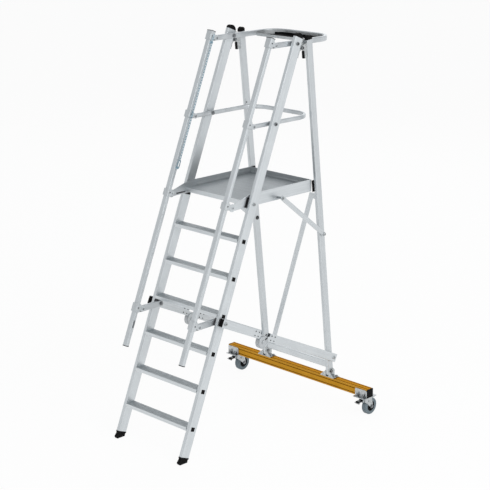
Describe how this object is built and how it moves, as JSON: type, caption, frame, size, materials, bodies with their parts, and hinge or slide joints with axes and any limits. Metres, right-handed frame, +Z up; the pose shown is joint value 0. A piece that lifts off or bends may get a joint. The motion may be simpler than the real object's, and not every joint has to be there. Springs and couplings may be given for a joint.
{
  "type": "mobile folding platform ladder",
  "caption": "Mobile folding platform ladder with ribbed treads, lift-up work platform, guard rails, tool tray, knee stays and a castor beam with brakes.",
  "frame": {"origin": "bottom centre of the bounding box, on the floor", "axes": "+X to the climber's right, +Y from the climber to the rear, +Z up"},
  "size_m": [1.4, 1.6456, 2.7611],
  "materials": {
    "aluminium": "satin",
    "tread": "ribbed satin",
    "deck": "ribbed satin",
    "black_plastic": "matte",
    "bolt_steel": "plain",
    "zinc": "zinc plated",
    "beam_gold": "gold anodised look",
    "grey_tyre": "matte"
  },
  "bodies": {
    "front_section": {"front_stile_left": "aluminium", "front_stile_right": "aluminium", "tread_1": "tread", "tread_2": "tread", "tread_3": "tread", "tread_4": "tread", "tread_5": "tread", "tread_6": "tread", "tread_plugs": "black_plastic", "front_feet": "black_plastic", "front_caps": "black_plastic", "front_hinge_plates": "aluminium", "pivot_bolts": "bolt_steel", "stay_spacers": "black_plastic", "pivot_washers": "black_plastic", "hinge_lock_pins": "black_plastic"},
    "rear_frame": {"rear_stile_left": "aluminium", "rear_stile_right": "aluminium", "rear_caps": "black_plastic", "rear_cross_member": "aluminium", "rear_diagonal_brace": "aluminium", "rear_hinge_plates": "aluminium", "rear_buffers": "black_plastic", "beam_brackets": "zinc", "beam_bolts": "bolt_steel", "castor_beam": "beam_gold", "beam_end_caps": "black_plastic", "castor_saddles": "zinc"},
    "platform": {"platform_deck": "deck", "platform_plate_left": "aluminium", "platform_plate_right": "aluminium", "platform_rear_board": "aluminium", "brace_pins": "bolt_steel"},
    "top_rail": {"top_hoop": "aluminium", "tool_tray": "black_plastic"},
    "knee_rail": {"knee_hoop": "aluminium"},
    "handrail_left": {"handrail_left": "aluminium", "left_rail_clamps": "aluminium", "left_rail_caps": "black_plastic", "safety_chain": "zinc", "chain_hook": "zinc"},
    "handrail_right": {"handrail_right": "aluminium", "right_rail_clamps": "aluminium", "right_rail_caps": "black_plastic"},
    "lower_arm_left": {"lower_arm_left": "aluminium"},
    "stay_front_left": {"stay_front_left": "aluminium"},
    "stay_rear_left": {"stay_rear_left": "aluminium"},
    "platform_brace_left": {"platform_brace_left": "aluminium"},
    "castor_left": {"castor_fork_left": "zinc"},
    "wheel_left": {"castor_hub_left": "black_plastic", "castor_tyre_left": "grey_tyre"},
    "brake_left": {"brake_pedal_left": "black_plastic"},
    "lower_arm_right": {"lower_arm_right": "aluminium"},
    "stay_front_right": {"stay_front_right": "aluminium"},
    "stay_rear_right": {"stay_rear_right": "aluminium"},
    "platform_brace_right": {"platform_brace_right": "aluminium"},
    "castor_right": {"castor_fork_right": "zinc"},
    "wheel_right": {"castor_hub_right": "black_plastic", "castor_tyre_right": "grey_tyre"},
    "brake_right": {"brake_pedal_right": "black_plastic"}
  },
  "joints": [
    {"name": "rear_fold", "type": "hinge", "parent": "front_section", "child": "rear_frame", "pos_m": [0, 0.35292, 2.657], "axis": [-1, 0, 0], "range_deg": [0, 21.36]},
    {"name": "platform_fold", "type": "hinge", "parent": "front_section", "child": "platform", "pos_m": [0, -0.11407, 1.66], "axis": [1, 0, 0], "range_deg": [0, 56]},
    {"name": "top_rail_fold", "type": "hinge", "parent": "front_section", "child": "top_rail", "pos_m": [0, 0.30208, 2.69], "axis": [1, 0, 0], "range_deg": [0, 56]},
    {"name": "knee_rail_fold", "type": "hinge", "parent": "front_section", "child": "knee_rail", "pos_m": [0, 0.0936, 2.174], "axis": [1, 0, 0], "range_deg": [0, 56]},
    {"name": "lower_arm_left_fold", "type": "hinge", "parent": "front_section", "child": "lower_arm_left", "pos_m": [-0.28, -0.41992, 0.903], "axis": [1, 0, 0], "range_deg": [0, 56]},
    {"name": "handrail_left_swing", "type": "hinge", "parent": "platform", "child": "handrail_left", "pos_m": [-0.28, -0.28407, 1.66], "axis": [-1, 0, 0], "range_deg": [0, 56]},
    {"name": "platform_brace_left_swing", "type": "hinge", "parent": "platform", "child": "platform_brace_left", "pos_m": [-0.342, 0.14793, 1.66], "axis": [-1, 0, 0], "range_deg": [0, 103.4]},
    {"name": "stay_front_left_swing", "type": "hinge", "parent": "front_section", "child": "stay_front_left", "pos_m": [-0.355, -0.41992, 0.903], "axis": [1, 0, 0], "range_deg": [0, 79.97]},
    {"name": "stay_rear_left_swing", "type": "hinge", "parent": "stay_front_left", "child": "stay_rear_left", "pos_m": [-0.355, -0.06094, 0.68553], "axis": [-1, 0, 0], "range_deg": [0, 149.42]},
    {"name": "castor_left_swivel", "type": "hinge", "parent": "rear_frame", "child": "castor_left", "pos_m": [-0.645, 0.71828, 0.145], "axis": [0, 0, 1], "continuous": true},
    {"name": "wheel_left_spin", "type": "hinge", "parent": "castor_left", "child": "wheel_left", "pos_m": [-0.645, 0.76028, 0.0625], "axis": [1, 0, 0], "continuous": true},
    {"name": "brake_left_tip", "type": "hinge", "parent": "castor_left", "child": "brake_left", "pos_m": [-0.645, 0.67228, 0.123], "axis": [1, 0, 0], "range_deg": [0, 15]},
    {"name": "lower_arm_right_fold", "type": "hinge", "parent": "front_section", "child": "lower_arm_right", "pos_m": [0.28, -0.41992, 0.903], "axis": [1, 0, 0], "range_deg": [0, 56]},
    {"name": "handrail_right_swing", "type": "hinge", "parent": "platform", "child": "handrail_right", "pos_m": [0.28, -0.28407, 1.66], "axis": [-1, 0, 0], "range_deg": [0, 56]},
    {"name": "platform_brace_right_swing", "type": "hinge", "parent": "platform", "child": "platform_brace_right", "pos_m": [0.342, 0.14793, 1.66], "axis": [-1, 0, 0], "range_deg": [0, 103.4]},
    {"name": "stay_front_right_swing", "type": "hinge", "parent": "front_section", "child": "stay_front_right", "pos_m": [0.355, -0.41992, 0.903], "axis": [1, 0, 0], "range_deg": [0, 79.97]},
    {"name": "stay_rear_right_swing", "type": "hinge", "parent": "stay_front_right", "child": "stay_rear_right", "pos_m": [0.355, -0.06094, 0.68553], "axis": [-1, 0, 0], "range_deg": [0, 149.42]},
    {"name": "castor_right_swivel", "type": "hinge", "parent": "rear_frame", "child": "castor_right", "pos_m": [0.645, 0.71828, 0.145], "axis": [0, 0, 1], "continuous": true},
    {"name": "wheel_right_spin", "type": "hinge", "parent": "castor_right", "child": "wheel_right", "pos_m": [0.645, 0.76028, 0.0625], "axis": [1, 0, 0], "continuous": true},
    {"name": "brake_right_tip", "type": "hinge", "parent": "castor_right", "child": "brake_right", "pos_m": [0.645, 0.67228, 0.123], "axis": [1, 0, 0], "range_deg": [0, 15]}
  ],
  "couplings": [
    {"joint": "platform_fold", "follows": "rear_fold", "ratio": 2.6216},
    {"joint": "top_rail_fold", "follows": "rear_fold", "ratio": 2.6216},
    {"joint": "knee_rail_fold", "follows": "rear_fold", "ratio": 2.6216},
    {"joint": "lower_arm_left_fold", "follows": "rear_fold", "ratio": 2.6216},
    {"joint": "handrail_left_swing", "follows": "rear_fold", "ratio": 2.6216},
    {"joint": "platform_brace_left_swing", "follows": "rear_fold", "ratio": 4.8407},
    {"joint": "stay_front_left_swing", "follows": "rear_fold", "ratio": 3.7437},
    {"joint": "stay_rear_left_swing", "follows": "rear_fold", "ratio": 6.9949},
    {"joint": "lower_arm_right_fold", "follows": "rear_fold", "ratio": 2.6216},
    {"joint": "handrail_right_swing", "follows": "rear_fold", "ratio": 2.6216},
    {"joint": "platform_brace_right_swing", "follows": "rear_fold", "ratio": 4.8407},
    {"joint": "stay_front_right_swing", "follows": "rear_fold", "ratio": 3.7437},
    {"joint": "stay_rear_right_swing", "follows": "rear_fold", "ratio": 6.9949}
  ]
}
